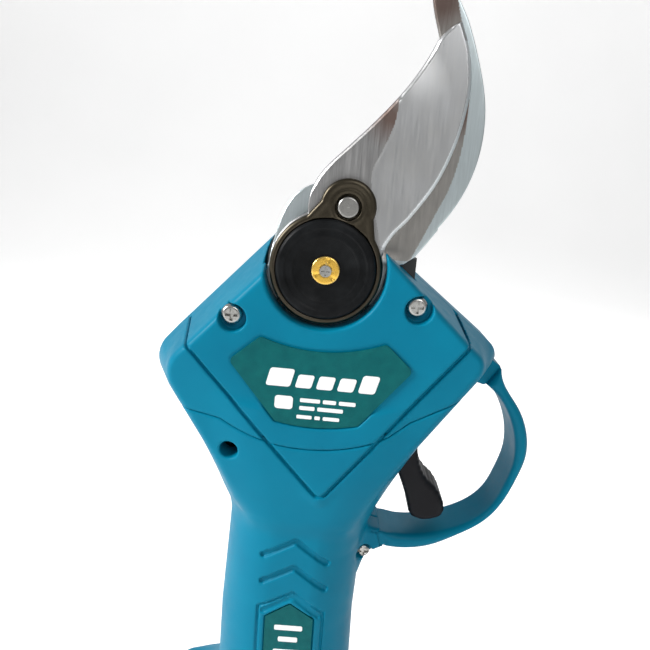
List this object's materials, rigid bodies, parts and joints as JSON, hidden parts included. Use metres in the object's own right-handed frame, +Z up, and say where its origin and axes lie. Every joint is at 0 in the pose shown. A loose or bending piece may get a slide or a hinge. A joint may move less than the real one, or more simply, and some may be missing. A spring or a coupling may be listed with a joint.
{
  "type": "battery electric pruner",
  "caption": "Cordless one-handed bypass pruner: teal shell, curved cutting blade over a fixed hook, lever trigger in a guard loop, slide-on battery foot.",
  "frame": {"origin": "on the flat underside of the battery, under the handle's axis and on the parting plane of the two shells", "axes": "+Z up the handle towards the blade tips, +X towards the trigger, -Y out of the label side"},
  "size_m": [0.1243, 0.0753, 0.327],
  "materials": {
    "teal_shell": "moulded teal plastic, semi-gloss",
    "teal_guard": "moulded teal plastic, semi-gloss",
    "label_film": "printed dark teal film",
    "screw_chrome": "bright plated screws",
    "black_aluminium": "black anodised casting",
    "blade_steel": "ground steel",
    "bronze_carrier": "dark bronze-brown sintered part",
    "bearing_steel": "machined steel",
    "bush_bronze": "sintered bronze",
    "cap_black": "black satin plastic",
    "brass": "turned brass",
    "motor_steel": "zinc-plated steel",
    "stator_iron": "laminated iron with windings",
    "wire_red": "silicone-covered wire",
    "board_green": "glass-fibre circuit board",
    "component_black": "moulded components",
    "trigger_black": "black glass-filled nylon",
    "magnet": "plated magnet",
    "spring_steel": "spring wire",
    "battery_black": "black plastic",
    "cell_sleeve": "cell sleeves",
    "copper": "plated copper contacts"
  },
  "bodies": {
    "housing": {"head_front_cover": "teal_shell", "head_rear_cover": "teal_shell", "handle_front_shell": "teal_shell", "handle_rear_shell": "teal_shell", "trigger_guard": "teal_guard", "head_label": "label_film", "handle_label": "label_film", "cover_screws": "screw_chrome", "handle_screws": "screw_chrome", "gear_case": "black_aluminium", "gear_case_cover": "black_aluminium", "gear_case_screws": "screw_chrome", "fixed_blade": "blade_steel", "fixed_blade_bolts": "screw_chrome", "spindle_bushes": "bush_bronze", "shaft_bushes": "bush_bronze", "ring_gear": "bearing_steel", "motor_can": "motor_steel", "motor_end_bell": "motor_steel", "motor_stator": "stator_iron", "motor_wires": "wire_red", "control_board": "board_green", "board_components": "component_black", "trigger_pin": "bearing_steel", "trigger_spring": "spring_steel", "trigger_sensor_board": "board_green", "power_switch": "component_black", "terminal_block": "battery_black", "contact_blades": "copper", "battery_wires": "wire_red"},
    "blade_group": {"moving_blade": "blade_steel", "blade_carrier": "bronze_carrier", "drive_pin": "bearing_steel", "spindle": "bearing_steel", "spindle_nut": "bearing_steel", "dust_cap": "cap_black", "brass_washer": "brass", "cap_screw": "screw_chrome", "drive_sector": "bearing_steel"},
    "output_group": {"output_shaft": "bearing_steel"},
    "first_carrier_group": {"first_stage_carrier": "bearing_steel"},
    "rotor_group": {"motor_rotor": "motor_steel"},
    "trigger_group": {"trigger_lever": "trigger_black", "trigger_magnet": "magnet"},
    "power_button_group": {"power_button": "trigger_black"},
    "battery_pack": {"battery_lower_case": "battery_black", "battery_upper_case": "battery_black", "battery_screws": "screw_chrome", "battery_cells": "cell_sleeve", "cell_holder": "battery_black", "battery_board": "board_green", "battery_label": "label_film", "release_spring": "spring_steel"},
    "release_button_group": {"release_button": "battery_black"},
    "first_stage_planet_1_group": {"first_stage_planet_1": "bearing_steel"},
    "first_stage_planet_2_group": {"first_stage_planet_2": "bearing_steel"},
    "first_stage_planet_3_group": {"first_stage_planet_3": "bearing_steel"},
    "second_stage_planet_1_group": {"second_stage_planet_1": "bearing_steel"},
    "second_stage_planet_2_group": {"second_stage_planet_2": "bearing_steel"},
    "second_stage_planet_3_group": {"second_stage_planet_3": "bearing_steel"}
  },
  "joints": [
    {"name": "blade_open", "type": "hinge", "parent": "housing", "child": "blade_group", "pos_m": [0.0052, 0, 0.251], "axis": [0, -1, 0], "range_deg": [0, 42]},
    {"name": "output_spin", "type": "hinge", "parent": "housing", "child": "output_group", "pos_m": [0.0052, 0, 0.2], "axis": [0, 0, 1], "range_deg": [0, 168]},
    {"name": "first_carrier_spin", "type": "hinge", "parent": "housing", "child": "first_carrier_group", "pos_m": [0.0052, 0, 0.16], "axis": [0, 0, 1], "range_deg": [0, 756]},
    {"name": "rotor_spin", "type": "hinge", "parent": "housing", "child": "rotor_group", "pos_m": [0.0052, 0, 0.13], "axis": [0, 0, 1], "range_deg": [0, 3402]},
    {"name": "second_stage_planet_1_spin", "type": "hinge", "parent": "output_group", "child": "second_stage_planet_1_group", "pos_m": [0.0052, 0.0081, 0.17], "axis": [0, 0, 1], "range_deg": [-470.4, 0]},
    {"name": "first_stage_planet_1_spin", "type": "hinge", "parent": "first_carrier_group", "child": "first_stage_planet_1_group", "pos_m": [0.0052, 0.0081, 0.156], "axis": [0, 0, 1], "range_deg": [-2116.8, 0]},
    {"name": "second_stage_planet_2_spin", "type": "hinge", "parent": "output_group", "child": "second_stage_planet_2_group", "pos_m": [-0.00181, -0.00405, 0.17], "axis": [0, 0, 1], "range_deg": [-470.4, 0]},
    {"name": "first_stage_planet_2_spin", "type": "hinge", "parent": "first_carrier_group", "child": "first_stage_planet_2_group", "pos_m": [-0.00181, -0.00405, 0.156], "axis": [0, 0, 1], "range_deg": [-2116.8, 0]},
    {"name": "second_stage_planet_3_spin", "type": "hinge", "parent": "output_group", "child": "second_stage_planet_3_group", "pos_m": [0.01221, -0.00405, 0.17], "axis": [0, 0, 1], "range_deg": [-470.4, 0]},
    {"name": "first_stage_planet_3_spin", "type": "hinge", "parent": "first_carrier_group", "child": "first_stage_planet_3_group", "pos_m": [0.01221, -0.00405, 0.156], "axis": [0, 0, 1], "range_deg": [-2116.8, 0]},
    {"name": "trigger_pull", "type": "hinge", "parent": "housing", "child": "trigger_group", "pos_m": [0.036, 0, 0.202], "axis": [0, 1, 0], "range_deg": [0, 12], "stiffness_Nm_per_rad": 2, "deforming": ["trigger_spring"]},
    {"name": "power_button_press", "type": "slide", "parent": "housing", "child": "power_button_group", "axis": [0, 1, 0], "range_m": [0, 0.0015], "stiffness_N_per_m": 600},
    {"name": "battery_slide", "type": "slide", "parent": "housing", "child": "battery_pack", "axis": [1, 0, 0], "range_m": [0, 0.09]},
    {"name": "release_press", "type": "slide", "parent": "battery_pack", "child": "release_button_group", "axis": [0, 0, -1], "range_m": [0, 0.0025], "stiffness_N_per_m": 900, "deforming": ["release_spring"]}
  ],
  "couplings": [
    {"joint": "output_spin", "follows": "blade_open", "ratio": 4},
    {"joint": "first_carrier_spin", "follows": "blade_open", "ratio": 18},
    {"joint": "rotor_spin", "follows": "blade_open", "ratio": 81},
    {"joint": "second_stage_planet_1_spin", "follows": "blade_open", "ratio": -11.2},
    {"joint": "first_stage_planet_1_spin", "follows": "blade_open", "ratio": -50.4},
    {"joint": "second_stage_planet_2_spin", "follows": "blade_open", "ratio": -11.2},
    {"joint": "first_stage_planet_2_spin", "follows": "blade_open", "ratio": -50.4},
    {"joint": "second_stage_planet_3_spin", "follows": "blade_open", "ratio": -11.2},
    {"joint": "first_stage_planet_3_spin", "follows": "blade_open", "ratio": -50.4}
  ]
}
